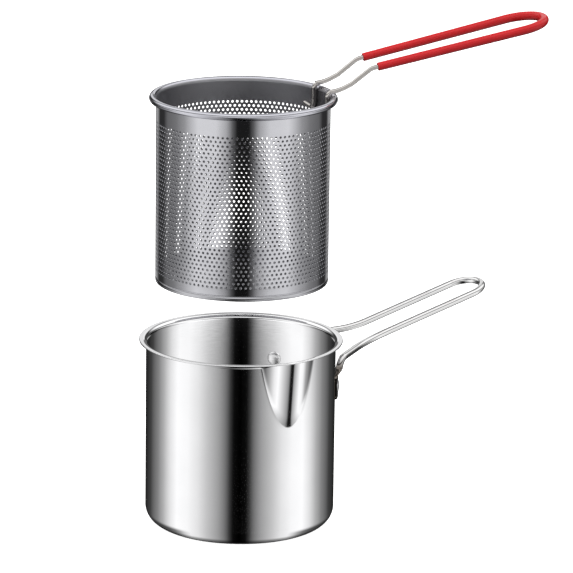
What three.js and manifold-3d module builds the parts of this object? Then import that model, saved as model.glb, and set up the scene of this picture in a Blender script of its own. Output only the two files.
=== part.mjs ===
// A small deep fryer: a spouted steel pot with a looped wire handle, and a perforated frying basket with a
// gripped wire handle, lifted straight up out of the pot to drain.
// Millimetres, +Z up. The origin is the centre of the pot's base, on the table. The pot's handle points along
// +X, its spout along -Y, and the basket's handle lies a few degrees to one side of the pot's handle.

import * as THREE from 'three';
import { mergeVertices } from 'three/addons/utils/BufferGeometryUtils.js';
import Module from 'manifold-3d';

const wasm = await Module();
wasm.setup();

// Shared sizes
const clearance = 0.3;
const overrun = 6;
const weldDistance = 0.0001;

// The pot
const potRadius = 60;
const potHeight = 120;
const potSheet = 0.6;
const baseFillet = 11;
const lipBend = 2.6;
const lipFlat = 0.8;
const lipCurl = 1.0;
const lipDrop = 0.3;

// The spout, a round-bottomed channel pressed out of the pot's wall
const spoutRadius = 28.5;
const spoutDepth = 40;
const spoutReach = 4.0;
const spoutSill = 0.3;

// The pot's handle, one bent wire whose ends are pressed flat against the wall
const potWire = 4.6;
const potLegGap = 27;
const potLoopEnd = 179;
const potHandleRise = THREE.MathUtils.degToRad(14.7);
const potHandleDrop = 32;
const potLegBend = 85;
const potLegBendRadius = 50;
const tabTurn = THREE.MathUtils.degToRad(38);
const tabTop = 20;
const tabBottom = 36.3;
const tabThickness = 1.6;
const tabWidth = 10;
const tabPress = 4.5;
const tabNeck = 11;
const tabNeckBend = 7.5;

// The two rivets that hold the pot's handle
const rivetDrop = 28.5;
const rivetShank = 4.6;
const rivetInnerHead = 9;
const rivetInnerDome = 2.3;
const rivetOuterHead = 7.4;
const rivetOuterDome = 0.5;

// The basket
const basketRadius = 54.4;
const basketHeight = 117;
const basketSheet = 0.5;
const beadRadius = 2.2;
const beadTuck = THREE.MathUtils.degToRad(20);
const beadShoulder = THREE.MathUtils.degToRad(130);
const basketFootBend = 0.8;
const basketFootLip = 2.4;
const basketLift = 157;

// The basket's perforation. The real sheet has rows of small round holes; here each four-sided hole stands
// for a patch of them, with the same open share.
const plainFoot = 10;
const plainTop = 13.5;
const wallHolesRound = 18;
const wallHoleRows = 8;
const wallHole = 11;
const floorHole = 8;
const floorHolePitch = 14;
const floorHoleMargin = 5;

// The basket's handle, one bent wire with a sleeve over its loop
const basketWire = 3.0;
const basketHandleTurn = THREE.MathUtils.degToRad(-14);
const basketLegGap = 28;
const basketLoopEnd = 197;
const basketLoopWidth = 36.4;
const basketLoopRise = 42.3;
const kinkFoot = 65.8;
const kinkFootRise = 8.6;
const kinkTop = 78.5;
const kinkTopRise = 18.0;
const kinkBendRadius = 9;
const rimBendRadius = 27;
const hookBendRadius = 4;
const hookTurnRadius = 3;
const hookLength = 12;
const hookFoot = 9;
const hookFootRise = 2;
const sleeveStart = 82.5;
const sleeveRadius = 2.7;

// Numbers of faces
const potSides = 56;
const spoutSides = 84;
const wireSides = 10;
const thinSides = 8;
const rivetSides = 14;
const bendSteps = 5;
const filletSteps = 6;
const curlSteps = 3;
const beadSteps = 6;
const loopSteps = 15;

// Turns a closed three.js geometry into a solid that can be joined and cut.
function solid(geometry) {
  const bare = new THREE.BufferGeometry();
  bare.setAttribute('position', geometry.getAttribute('position').clone());
  if (geometry.index) bare.setIndex(geometry.index.clone());
  const merged = mergeVertices(bare, weldDistance);
  const index = merged.index.array;
  const kept = [];
  for (let i = 0; i < index.length; i += 3) {
    const [a, b, c] = [index[i], index[i + 1], index[i + 2]];
    if (a !== b && b !== c && c !== a) kept.push(a, b, c);
  }
  return new wasm.Manifold(new wasm.Mesh({
    numProp: 3,
    vertProperties: new Float32Array(merged.getAttribute('position').array),
    triVerts: new Uint32Array(kept),
  }));
}

// Turns a solid back into a geometry.
function geometryOf(body) {
  const mesh = body.getMesh();
  const geometry = new THREE.BufferGeometry();
  geometry.setAttribute('position', new THREE.BufferAttribute(new Float32Array(mesh.vertProperties), 3));
  geometry.setIndex(new THREE.BufferAttribute(new Uint32Array(mesh.triVerts), 1));
  geometry.computeVertexNormals();
  return geometry;
}

// Spins a profile of [radius, height] points, listed upwards on the outside, about the Z axis.
function spun(profile, sides) {
  const points = profile.map(([r, z]) => new THREE.Vector2(r, z));
  const geometry = new THREE.LatheGeometry(points, sides);
  geometry.rotateX(Math.PI / 2);
  return geometry;
}

// Points of an arc in a profile, from one angle to another, both ends included.
function arc(r, z, radius, from, to, steps) {
  const points = [];
  for (let i = 0; i <= steps; i += 1) {
    const angle = from + (to - from) * i / steps;
    points.push([r + radius * Math.cos(angle), z + radius * Math.sin(angle)]);
  }
  return points;
}

// A curve that visits its own list of points, so that an extrusion puts its rings exactly there.
class PointPath extends THREE.Curve {
  constructor(points) {
    super();
    this.points = points;
  }

  getPoint(t, target = new THREE.Vector3()) {
    const last = this.points.length - 1;
    return target.copy(this.points[Math.round(t * last)]);
  }

  getPointAt(t, target) {
    return this.getPoint(t, target);
  }

  getTangent(t, target = new THREE.Vector3()) {
    const last = this.points.length - 1;
    const at = Math.round(t * last);
    const before = this.points[Math.max(at - 1, 0)];
    const after = this.points[Math.min(at + 1, last)];
    return target.copy(after).sub(before).normalize();
  }

  getTangentAt(t, target) {
    return this.getTangent(t, target);
  }
}

// The path of a bent wire: straight runs between corners, each corner rounded at its own bend radius.
function bentPath(corners) {
  const points = [];
  corners.forEach(({ at, bend }, i) => {
    if (!bend) {
      points.push(at.clone());
      return;
    }
    const into = at.clone().sub(corners[i - 1].at).normalize();
    const out = corners[i + 1].at.clone().sub(at).normalize();
    const turn = into.angleTo(out);
    const back = bend * Math.tan(turn / 2);
    const side = out.clone().sub(into.clone().multiplyScalar(into.dot(out))).normalize();
    const start = at.clone().addScaledVector(into, -back);
    for (let k = 0; k <= bendSteps; k += 1) {
      const angle = turn * k / bendSteps;
      points.push(start.clone()
        .addScaledVector(into, bend * Math.sin(angle))
        .addScaledVector(side, bend * (1 - Math.cos(angle))));
    }
  });
  return points;
}

// A round section, with a bore where one is given, to be swept along a wire's path.
function roundSection(radius, sides, bore = 0) {
  const ring = (size) => {
    const points = [];
    for (let i = 0; i < sides; i += 1) {
      const angle = 2 * Math.PI * i / sides;
      points.push(new THREE.Vector2(size * Math.cos(angle), size * Math.sin(angle)));
    }
    return points;
  };
  const shape = new THREE.Shape(ring(radius));
  if (bore) shape.holes.push(new THREE.Path(ring(bore)));
  return shape;
}

function swept(section, points) {
  return new THREE.ExtrudeGeometry(section, {
    steps: points.length - 1,
    bevelEnabled: false,
    extrudePath: new PointPath(points),
  });
}

// The other leg of a handle: the same points on the other side of its middle plane.
function mirrored(points) {
  return points.map((p) => new THREE.Vector3(p.x, -p.y, p.z));
}

function metal(name, geometry, color, roughness) {
  const material = new THREE.MeshStandardMaterial({ color, roughness, metalness: 1 });
  const mesh = new THREE.Mesh(geometry, material);
  mesh.name = name;
  return mesh;
}

// The pot's shell: base, wall and flared lip, with the spout joined on and its channel cut through.
function potShell() {
  const lipCentre = potRadius + lipBend;
  const lipLow = potHeight - potSheet - lipBend;
  const curlCentre = lipCentre + lipFlat;
  const inner = potRadius - potSheet;
  const down = -Math.PI / 2;
  const up = Math.PI / 2;

  const outside = solid(spun([
    [0, 0],
    ...arc(potRadius - baseFillet, baseFillet, baseFillet, down, 0, filletSteps),
    ...arc(lipCentre, lipLow, lipBend, Math.PI, up, bendSteps - 1),
    ...arc(curlCentre, potHeight - lipCurl, lipCurl - potSheet, up, 0, curlSteps),
    [curlCentre + lipCurl - potSheet, potHeight - lipCurl - lipDrop],
    [curlCentre + lipCurl, potHeight - lipCurl - lipDrop],
    ...arc(curlCentre, potHeight - lipCurl, lipCurl, 0, up, curlSteps),
    [0, potHeight],
  ], potSides));

  const inside = solid(spun([
    [0, potSheet],
    ...arc(potRadius - baseFillet, baseFillet, baseFillet - potSheet, down, 0, filletSteps),
    ...arc(lipCentre, lipLow, lipBend + potSheet, Math.PI, up, bendSteps - 1),
    [lipCentre, potHeight + overrun],
    [0, potHeight + overrun],
  ], potSides));

  const spoutTop = solid(spun([
    [0, potHeight - spoutDepth - overrun],
    [potRadius + overrun, potHeight - spoutDepth - overrun],
    [potRadius + overrun, potHeight - spoutSill],
    [0, potHeight - spoutSill],
  ], potSides));
  const spout = (radius, rise) => {
    const length = spoutDepth + 2 * overrun + rise;
    const channel = new THREE.CylinderGeometry(radius, radius, length, spoutSides);
    channel.rotateX(Math.PI / 2);
    channel.translate(0, 0, length / 2 - spoutDepth - overrun);
    channel.rotateX(Math.atan2(spoutReach, spoutDepth));
    channel.translate(0, spoutRadius - potRadius - spoutReach, potHeight);
    return solid(channel);
  };

  const body = outside.add(spout(spoutRadius, 0).intersect(spoutTop))
    .subtract(inside.add(spout(spoutRadius - potSheet, overrun)));
  const holes = rivetPlaces().map((place) => rivetHole(place));
  const drilled = holes.reduce((left, hole) => left.subtract(hole), body);
  return metal('pot_shell', geometryOf(drilled), 0xd8d8da, 0.08);
}

// Where the rivets go through the wall: one at each side of the handle's direction.
function rivetPlaces() {
  return [-1, 1].map((side) => ({ side, turn: side * tabTurn, height: potHeight - rivetDrop }));
}

// Lays something made along +X, at the axis, at a rivet's turn and height.
function atRivet(geometry, { turn, height }) {
  geometry.rotateZ(turn);
  geometry.translate(0, 0, height);
  return geometry;
}

function rivetHole(place) {
  const radius = rivetShank / 2 + clearance;
  const length = potRadius + overrun;
  const hole = new THREE.CylinderGeometry(radius, radius, length, rivetSides);
  hole.rotateZ(Math.PI / 2);
  hole.translate(length / 2 + potRadius / 2, 0, 0);
  return solid(atRivet(hole, place));
}

// How far a flat-backed head stands off a round wall, so that its edge still clears it.
function standOff(wall, head) {
  return wall - Math.sqrt(wall * wall - head * head / 4);
}

function rivet(place) {
  const inner = potRadius - potSheet;
  const tabFace = potRadius + clearance + tabThickness;
  const innerSeat = inner - clearance - standOff(inner, rivetInnerHead);
  const outerSeat = tabFace + clearance;
  const dome = (start, rise, head, way) => {
    const points = [];
    for (let i = 0; i <= bendSteps; i += 1) {
      const angle = Math.PI / 2 * i / bendSteps;
      points.push([head / 2 * Math.sin(angle), start + way * rise * Math.cos(angle)]);
    }
    return points;
  };
  const geometry = spun([
    ...dome(innerSeat, rivetInnerDome, rivetInnerHead, -1),
    [rivetShank / 2, innerSeat],
    [rivetShank / 2, outerSeat],
    ...dome(outerSeat, rivetOuterDome, rivetOuterHead, 1).reverse(),
  ], rivetSides);
  geometry.rotateY(Math.PI / 2);
  return atRivet(geometry, place);
}

// The pot's handle: up the wall from a tab, out to the loop, and back down to the other tab.
function potHandle() {
  const radius = potWire / 2;
  const heightAt = (x) => potHeight - potHandleDrop + x * Math.tan(potHandleRise);
  const wallSide = potRadius + clearance + radius;
  const along = (drop, out) => new THREE.Vector3(
    out * Math.cos(tabTurn), out * Math.sin(tabTurn), potHeight - drop);
  const half = potLegGap / 2;
  const loopCentre = potLoopEnd - half;
  const side = bentPath([
    { at: along(tabBottom, wallSide) },
    { at: along(tabTop + tabPress, wallSide) },
    { at: along(tabTop, wallSide) },
    { at: along(tabNeck, wallSide + clearance), bend: tabNeckBend },
    { at: new THREE.Vector3(potLegBend, half, heightAt(potLegBend)), bend: potLegBendRadius },
    { at: new THREE.Vector3(loopCentre, half, heightAt(loopCentre)) },
  ]);
  const loop = [];
  for (let i = 1; i < loopSteps; i += 1) {
    const angle = Math.PI / 2 - Math.PI * i / loopSteps;
    const x = loopCentre + half * Math.cos(angle);
    loop.push(new THREE.Vector3(x, half * Math.sin(angle), heightAt(x)));
  }
  const points = [...side, ...loop, ...mirrored(side).reverse()];
  const geometry = swept(roundSection(radius, wireSides), points);
  pressTabs(geometry, wallSide);
  const holes = rivetPlaces().map((place) => rivetHole(place));
  const drilled = holes.reduce((left, hole) => left.subtract(hole), solid(geometry));
  return metal('pot_handle', geometryOf(drilled), 0xd0d0d2, 0.12);
}

// Presses the wire's ends flat against the wall: thin across the wall, wide along it.
function pressTabs(geometry, wallSide) {
  const position = geometry.getAttribute('position');
  const round = potHeight - tabTop;
  const pressed = round - tabPress;
  const point = new THREE.Vector3();
  for (let i = 0; i < position.count; i += 1) {
    point.fromBufferAttribute(position, i);
    const turn = Math.sign(point.y) * tabTurn;
    const out = point.x * Math.cos(turn) + point.y * Math.sin(turn);
    const across = point.y * Math.cos(turn) - point.x * Math.sin(turn);
    const share = THREE.MathUtils.clamp((round - point.z) / (round - pressed), 0, 1);
    if (share > 0 && out < wallSide + potWire) {
      const wide = across * THREE.MathUtils.lerp(1, tabWidth / potWire, share);
      const thick = THREE.MathUtils.lerp(potWire, tabThickness, share) / 2;
      const offset = THREE.MathUtils.clamp(out - wallSide, -thick, thick);
      const centre = THREE.MathUtils.lerp(wallSide, potRadius + clearance + tabThickness / 2, share);
      const reach = centre + offset;
      const angle = turn + wide / reach;
      position.setXY(i, reach * Math.cos(angle), reach * Math.sin(angle));
    }
  }
}

// The basket's wall: a perforated sheet rolled round, its lip turned over outwards into a bead and its foot
// turned in to carry the floor. The holes stand in staggered rows, each in the middle of a diamond of sheet.
function basketWall() {
  const sides = 2 * wallHolesRound;
  const inner = basketRadius - basketSheet;
  const firstRow = plainFoot + wallHole / 2;
  const lastRow = basketHeight - plainTop - wallHole / 2;
  const rowPitch = (lastRow - firstRow) / (wallHoleRows - 1);
  const rowHeight = (row) => firstRow + (row - 1) * rowPitch;
  const positions = [];
  const faces = [];
  const point = (radius, angle, z) => {
    positions.push(radius * Math.cos(angle), radius * Math.sin(angle), z);
    return positions.length / 3 - 1;
  };
  const quad = (a, b, c, d) => faces.push(a, b, c, a, c, d);
  const angleOf = (column) => 2 * Math.PI * column / sides;
  const wrap = (column) => (column + sides) % sides;
  const ring = (radius, z) => Array.from({ length: sides }, (_, j) => point(radius, angleOf(j), z));

  // One skin of the sheet, with its corner points, its holes and the two edges where the plain bands start.
  const skin = (radius, flip) => {
    const corners = new Map();
    const corner = (row, column) => corners.get(row * sides + wrap(column));
    for (let row = 0; row <= wallHoleRows + 1; row += 1) {
      for (let column = 0; column < sides; column += 1) {
        if ((row + column) % 2) {
          corners.set(row * sides + column, point(radius, angleOf(column), rowHeight(row)));
        }
      }
    }
    const holes = [];
    for (let row = 1; row <= wallHoleRows; row += 1) {
      for (let column = row % 2; column < sides; column += 2) {
        const reach = wallHole / 2 / radius;
        const angle = angleOf(column);
        const z = rowHeight(row);
        const around = [corner(row, column + 1), corner(row + 1, column),
          corner(row, column - 1), corner(row - 1, column)];
        const edge = [point(radius, angle + reach, z), point(radius, angle, z + wallHole / 2),
          point(radius, angle - reach, z), point(radius, angle, z - wallHole / 2)];
        edge.forEach((at, k) => {
          const next = (k + 1) % edge.length;
          if (flip) quad(at, edge[next], around[next], around[k]);
          else quad(around[k], around[next], edge[next], at);
        });
        holes.push(edge);
      }
    }
    const columns = Array.from({ length: sides }, (_, j) => j);
    const foot = columns.map((j) => corner(j % 2 ? 0 : 1, j));
    const topOdd = (wallHoleRows + 1) % 2;
    const top = columns.map((j) => corner((j + topOdd) % 2 ? wallHoleRows + 1 : wallHoleRows, j));
    return { holes, foot, top };
  };

  const outer = skin(basketRadius, false);
  const inside = skin(inner, true);
  outer.holes.forEach((edge, i) => {
    const back = inside.holes[i];
    edge.forEach((at, k) => {
      const next = (k + 1) % edge.length;
      quad(at, edge[next], back[next], back[k]);
    });
  });

  // The rest of the section, from the outer skin's top edge over the bead to the inner skin, and round the foot.
  const beadCentre = basketRadius + beadRadius;
  const top = [
    [basketRadius, basketHeight - beadRadius],
    ...arc(beadCentre, basketHeight, beadRadius, beadTuck - Math.PI, beadShoulder, beadSteps),
    [inner, basketHeight],
  ];
  const foot = [
    ...arc(basketRadius - basketFootBend, basketFootBend, basketFootBend, 0, -Math.PI / 2, curlSteps),
    [basketRadius - basketFootLip, 0],
    [basketRadius - basketFootLip, basketSheet],
    [basketRadius - basketFootBend, basketSheet],
    [inner, basketFootBend],
  ];
  const join = (low, high) => low.forEach((at, j) => {
    const next = wrap(j + 1);
    quad(at, low[next], high[next], high[j]);
  });
  const upper = top.map(([radius, z]) => ring(radius, z));
  [outer.top, ...upper].forEach((low, i) => join(low, upper[i] ?? inside.top));
  const lower = foot.map(([radius, z]) => ring(radius, z)).reverse();
  [inside.foot, ...lower].forEach((low, i) => join(low, lower[i] ?? outer.foot));

  const geometry = new THREE.BufferGeometry();
  geometry.setAttribute('position', new THREE.Float32BufferAttribute(positions, 3));
  geometry.setIndex(faces);
  geometry.computeVertexNormals();
  return metal('basket_wall', geometry, 0x9a9aa4, 0.3);
}

// The basket's floor: a flat perforated disc that lies on the wall's turned-in foot.
function basketFloor() {
  const radius = basketRadius - basketSheet - clearance - basketSheet;
  const shape = new THREE.Shape();
  const sides = 2 * wallHolesRound;
  for (let i = 0; i < sides; i += 1) {
    const angle = 2 * Math.PI * i / sides;
    const at = [radius * Math.cos(angle), radius * Math.sin(angle)];
    if (i) shape.lineTo(...at);
    else shape.moveTo(...at);
  }
  const rowPitch = floorHolePitch * Math.cos(Math.PI / 6);
  const rows = Math.floor(radius / rowPitch);
  const reach = radius - floorHoleMargin - floorHole / 2;
  for (let row = -rows; row <= rows; row += 1) {
    for (let column = -rows - 1; column <= rows + 1; column += 1) {
      const x = (column + Math.abs(row % 2) / 2) * floorHolePitch;
      const y = row * rowPitch;
      if (Math.hypot(x, y) <= reach) {
        const hole = new THREE.Path();
        hole.moveTo(x + floorHole / 2, y);
        hole.lineTo(x, y - floorHole / 2);
        hole.lineTo(x - floorHole / 2, y);
        hole.lineTo(x, y + floorHole / 2);
        shape.holes.push(hole);
      }
    }
  }
  const geometry = new THREE.ExtrudeGeometry(shape, { depth: basketSheet, bevelEnabled: false });
  geometry.translate(0, 0, basketSheet + clearance);
  return metal('basket_floor', geometry, 0x9a9aa4, 0.3);
}

// The corners of one leg of the basket's handle, from its welded foot inside the wall to the loop's side.
function basketLeg() {
  const half = basketLegGap / 2;
  const hang = basketRadius - basketSheet - clearance - basketWire / 2;
  const overBead = beadRadius + clearance + basketWire / 2;
  const inX = Math.sqrt(hang * hang - half * half);
  const beadX = basketRadius + beadRadius;
  const loopHalf = basketLoopWidth / 2;
  const loopCentre = basketLoopEnd - loopHalf;
  const spread = (x) => THREE.MathUtils.mapLinear(x, inX, loopCentre, half, loopHalf);
  const slope = (basketLoopRise - kinkTopRise) / (basketLoopEnd - kinkTop);
  const at = (x, rise) => new THREE.Vector3(x, spread(x), basketHeight + rise);
  const turn = Math.atan2(half, inX) + hookFoot / hang;
  const footHeight = basketHeight - hookLength + hookFootRise;
  return {
    slope,
    loopCentre,
    loopHalf,
    corners: [
      { at: new THREE.Vector3(hang * Math.cos(turn), hang * Math.sin(turn), footHeight) },
      { at: at(inX, -hookLength), bend: hookTurnRadius },
      { at: at(inX, overBead), bend: hookBendRadius },
      { at: at(beadX, overBead + clearance), bend: rimBendRadius },
      { at: at(kinkFoot, kinkFootRise), bend: kinkBendRadius },
      { at: at(kinkTop, kinkTopRise), bend: kinkBendRadius },
      { at: at(sleeveStart, kinkTopRise + (sleeveStart - kinkTop) * slope) },
      { at: at(loopCentre, basketLoopRise - loopHalf * slope) },
    ],
  };
}

// The loop at the end of the basket's handle.
function basketLoop({ slope, loopCentre, loopHalf }) {
  const points = [];
  for (let i = 1; i < loopSteps; i += 1) {
    const angle = Math.PI / 2 - Math.PI * i / loopSteps;
    const x = loopCentre + loopHalf * Math.cos(angle);
    const z = basketHeight + basketLoopRise - (basketLoopEnd - x) * slope;
    points.push(new THREE.Vector3(x, loopHalf * Math.sin(angle), z));
  }
  return points;
}

function basketHandle() {
  const leg = basketLeg();
  const side = bentPath(leg.corners);
  const points = [...side, ...basketLoop(leg), ...mirrored(side).reverse()];
  return metal('basket_handle', swept(roundSection(basketWire / 2, thinSides), points), 0xb8b4ae, 0.25);
}

function basketGrip() {
  const leg = basketLeg();
  const side = leg.corners.slice(-2).map(({ at }) => at);
  const points = [...side, ...basketLoop(leg), ...mirrored(side).reverse()];
  const section = roundSection(sleeveRadius, thinSides, basketWire / 2 + clearance);
  const mesh = metal('basket_grip', swept(section, points), 0xc41e24, 0.4);
  mesh.material.metalness = 0;
  return mesh;
}

const pot = new THREE.Group();
pot.add(potShell(), potHandle());
rivetPlaces().forEach((place) => {
  const name = place.side < 0 ? 'rivet_spout_side' : 'rivet_far_side';
  pot.add(metal(name, rivet(place), 0xe0e0e0, 0.15));
});

const basket = new THREE.Group();
const basketSteel = new THREE.Group();
basketSteel.add(basketWall(), basketFloor());
const basketHold = new THREE.Group();
basketHold.add(basketHandle(), basketGrip());
basketHold.rotation.z = basketHandleTurn;
basket.add(basketSteel, basketHold);
basket.position.z = potSheet + clearance + basketLift;

const group = new THREE.Group();
group.add(pot, basket);

export default group;
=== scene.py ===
import math

import bpy
import numpy as np
from mathutils import Matrix, Vector


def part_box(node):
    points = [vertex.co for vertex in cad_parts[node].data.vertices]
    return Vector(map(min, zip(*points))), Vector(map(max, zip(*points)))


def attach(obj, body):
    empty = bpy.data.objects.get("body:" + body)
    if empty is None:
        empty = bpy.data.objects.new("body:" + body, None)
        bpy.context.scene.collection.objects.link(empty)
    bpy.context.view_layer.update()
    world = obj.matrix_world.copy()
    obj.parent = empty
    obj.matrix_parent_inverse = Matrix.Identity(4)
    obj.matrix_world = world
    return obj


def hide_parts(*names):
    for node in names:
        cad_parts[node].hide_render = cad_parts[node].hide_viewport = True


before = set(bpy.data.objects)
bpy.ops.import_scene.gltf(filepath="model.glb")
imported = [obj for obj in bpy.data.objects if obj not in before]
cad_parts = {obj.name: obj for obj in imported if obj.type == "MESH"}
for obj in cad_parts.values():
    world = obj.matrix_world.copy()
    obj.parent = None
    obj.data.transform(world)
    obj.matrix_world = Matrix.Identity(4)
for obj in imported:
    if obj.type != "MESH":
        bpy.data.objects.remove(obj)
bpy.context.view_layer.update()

MM = 0.001

# The photograph: where the camera stands, and the pixel that the middle of the pot's rim falls on.
PICTURE = 573
VIEW_AZIMUTH = math.radians(-30.5)
VIEW_ELEVATION = math.radians(15.5)
VIEW_ROLL = math.radians(0.6)
VIEW_DISTANCE = 2650 * MM
FOCAL_PIXELS = 4197.7
RIM_PIXEL = (241.0, 339.0)
RIM_PLANE_DROP = 0.65 * MM
SENSOR = 36.0

# The pot
pot_low, pot_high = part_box("pot_shell")
POT_HEIGHT = pot_high.z
POT_SHEET = 0.6 * MM
POT_RADIUS = 60 * MM
LIP_BEND = 2.6 * MM
LIP_FLAT = 0.8 * MM
LIP_HEM = 0.65 * MM
BASE_FILLET = 11 * MM
FILLET_START = 0.67 * MM
LIP_ZONE = 4 * MM

# The spout, a round channel that leans out of the wall towards -Y
SPOUT_TURN = math.radians(-90)
SPOUT_RADIUS = 28.5 * MM
SPOUT_DEPTH = 40 * MM
SPOUT_REACH = 4 * MM
SPOUT_CREASE = 0.5 * MM
SPOUT_FOOT_ROOM = 5 * MM
SPOUT_LEAN = math.atan2(SPOUT_REACH, SPOUT_DEPTH)

# The pot's handle and its rivets
CLEARANCE = 0.3 * MM
POT_WIRE = 4.6 * MM
POT_LEG_GAP = 27 * MM
POT_LOOP_END = 179 * MM
POT_HANDLE_RISE = math.radians(14.7)
POT_HANDLE_DROP = 32 * MM
POT_LEG_BEND = 85 * MM
POT_LEG_BEND_RADIUS = 50 * MM
TAB_TURN = math.radians(38)
TAB_TOP = 16.8 * MM
TAB_BOTTOM = 36.3 * MM
TAB_THICKNESS = 1.6 * MM
TAB_WIDTH = 10 * MM
TAB_PRESS = 5.5 * MM
TAB_NECK = 11 * MM
TAB_NECK_BEND = 7.5 * MM
RIVET_DROP = 28.5 * MM
RIVET_SHANK = 4.6 * MM
RIVET_INNER_HEAD = 9 * MM
RIVET_INNER_DOME = 2.3 * MM
RIVET_OUTER_HEAD = 7.4 * MM
RIVET_OUTER_DOME = 0.5 * MM

# The basket
wall_low, wall_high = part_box("basket_wall")
BASKET_BASE = wall_low.z
BASKET_RADIUS = 54.4 * MM
BASKET_SHEET = 0.5 * MM
BEAD_RADIUS = 2.2 * MM
BASKET_HEIGHT = 117 * MM
FOOT_LIP = 2.4 * MM
FOOT_RING = 3 * MM
HOLE_COLUMNS = 113
HOLE_ROWS = 37
HOLE_RADIUS = 0.82 * MM
HOLE_SIDES = 12
HOLE_TOP_DROP = 13.9 * MM
HOLE_ROW_PITCH = 2.62 * MM

# The basket's handle, one bent wire with a sleeve over its loop
BASKET_WIRE = 3 * MM
BASKET_TURN = Matrix.Rotation(math.radians(-14), 4, "Z")
BASKET_LEG_GAP = 28 * MM
BASKET_LOOP_END = 196.7 * MM
BASKET_LOOP_WIDTH = 36.4 * MM
BASKET_LOOP_RISE = 42.0 * MM
KINK_FOOT = 65.8 * MM
KINK_FOOT_RISE = 8.6 * MM
KINK_TOP = 78.5 * MM
KINK_TOP_RISE = 18 * MM
KINK_BEND_RADIUS = 9 * MM
RIM_BEND_RADIUS = 27 * MM
HOOK_BEND_RADIUS = 4 * MM
HOOK_TURN_RADIUS = 3 * MM
HOOK_LENGTH = 12 * MM
HOOK_FOOT = 9 * MM
HOOK_FOOT_RISE = 2 * MM
SLEEVE_START = 82.5 * MM
SLEEVE_RADIUS = 2.88 * MM
SLEEVE_START_RADIUS = 2.65 * MM

# The floor is a light table
FLOOR_GLOW = 0.7

# Fineness of the meshes
BEND_STEPS = 12
LOOP_STEPS = 60
WIRE_SIDES = 28
RIVET_SIDES = 48
SPOUT_COLUMNS = 64
POT_COLUMNS = 100


# Meshes

def grid_faces(rows, columns, joined=False):
    """Faces between rings of points. Rings that rise along a wall's outside face outwards."""
    low, at = np.meshgrid(np.arange(rows if joined else rows - 1), np.arange(columns), indexing="ij")
    high, after = (low + 1) % rows, (at + 1) % columns
    corners = (low * columns + at, low * columns + after, high * columns + after, high * columns + at)
    return np.stack(corners, -1).reshape(-1, 4)


def end_faces(rows, columns):
    """The two faces that close a stack of rings at its first and last ring."""
    first = np.arange(columns)[::-1]
    return np.stack([first, first[::-1] + (rows - 1) * columns])


def add_piece(name, body, node, material, points, faces, crease=35, others=()):
    """Makes a piece from an array of points and arrays of faces, and lets it stand for a CAD node."""
    mesh = bpy.data.meshes.new(name)
    mesh.vertices.add(len(points))
    mesh.vertices.foreach_set("co", np.asarray(points, np.float32).ravel())
    corners = np.concatenate([group.ravel() for group in faces]).astype(np.int32)
    sizes = np.concatenate([np.full(len(group), group.shape[1]) for group in faces])
    starts = np.concatenate([[0], np.cumsum(sizes)[:-1]]).astype(np.int32)
    mesh.loops.add(len(corners))
    mesh.loops.foreach_set("vertex_index", corners)
    mesh.polygons.add(len(sizes))
    mesh.polygons.foreach_set("loop_start", starts)
    which = np.zeros(len(sizes), np.int32)
    for i, (_, chosen) in enumerate(others):
        which[chosen] = i + 1
    mesh.polygons.foreach_set("material_index", which)
    mesh.update(calc_edges=True)
    mesh.validate()
    mesh.shade_smooth()
    mesh.set_sharp_from_angle(angle=math.radians(crease))
    piece = place_piece(bpy.data.objects.new(name, mesh), body, node, material)
    for other, _ in others:
        mesh.materials.append(other)
    return piece


def place_piece(piece, body, node, material):
    """Puts a piece in the scene, on its body and in the place of its CAD node."""
    piece.data.materials.append(material)
    bpy.context.scene.collection.objects.link(piece)
    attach(piece, body)
    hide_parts(node)
    return piece


def arc(r, z, radius, start, end, steps):
    """Points of an arc in a section, with angles in degrees, both ends included."""
    angles = np.radians(np.linspace(start, end, steps + 1))
    return [(r + radius * math.cos(a), z + radius * math.sin(a)) for a in angles]


def lathe(profile, sides):
    """Rings of points round the Z axis for a section of (radius, height) points."""
    section = np.array(profile)
    turn = np.linspace(0, 2 * math.pi, sides, endpoint=False)
    r, z = section[:, :1], section[:, 1:]
    return np.stack([r * np.cos(turn), r * np.sin(turn), z + 0 * turn], -1).reshape(-1, 3)


def moved(points, matrix):
    """An array of points, turned and moved by a matrix."""
    matrix = np.array(matrix)
    return points @ matrix[:3, :3].T + matrix[:3, 3]


# Wires

def bent_path(corners):
    """The path of a bent wire through its corners, each with the radius that it is bent to."""
    points = []
    for i, (at, bend) in enumerate(corners):
        if not bend:
            points.append(at.copy())
            continue
        into = (at - corners[i - 1][0]).normalized()
        out = (corners[i + 1][0] - at).normalized()
        turn = into.angle(out)
        side = (out - into * into.dot(out)).normalized()
        start = at - into * (bend * math.tan(turn / 2))
        for k in range(BEND_STEPS + 1):
            angle = turn * k / BEND_STEPS
            points.append(start + into * (bend * math.sin(angle)) + side * (bend * (1 - math.cos(angle))))
    return points


def half_loop(centre, half, height_at):
    """The round end of a handle, from its +Y side to its -Y side, without the two end points."""
    angles = [math.pi / 2 - math.pi * i / LOOP_STEPS for i in range(1, LOOP_STEPS)]
    places = [(centre + half * math.cos(a), half * math.sin(a)) for a in angles]
    return [Vector((x, y, height_at(x))) for x, y in places]


def mirrored(points):
    """A path's other half: mirrored across y = 0, and run the other way."""
    return [Vector((p.x, -p.y, p.z)) for p in points][::-1]


def filled_in(path, step):
    """The path with points added, so that none of its stretches is longer than a step."""
    points = [path[0]]
    for start, end in zip(path, path[1:]):
        count = max(1, math.ceil((end - start).length / step))
        points += [start.lerp(end, i / count) for i in range(1, count + 1)]
    return points


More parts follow.
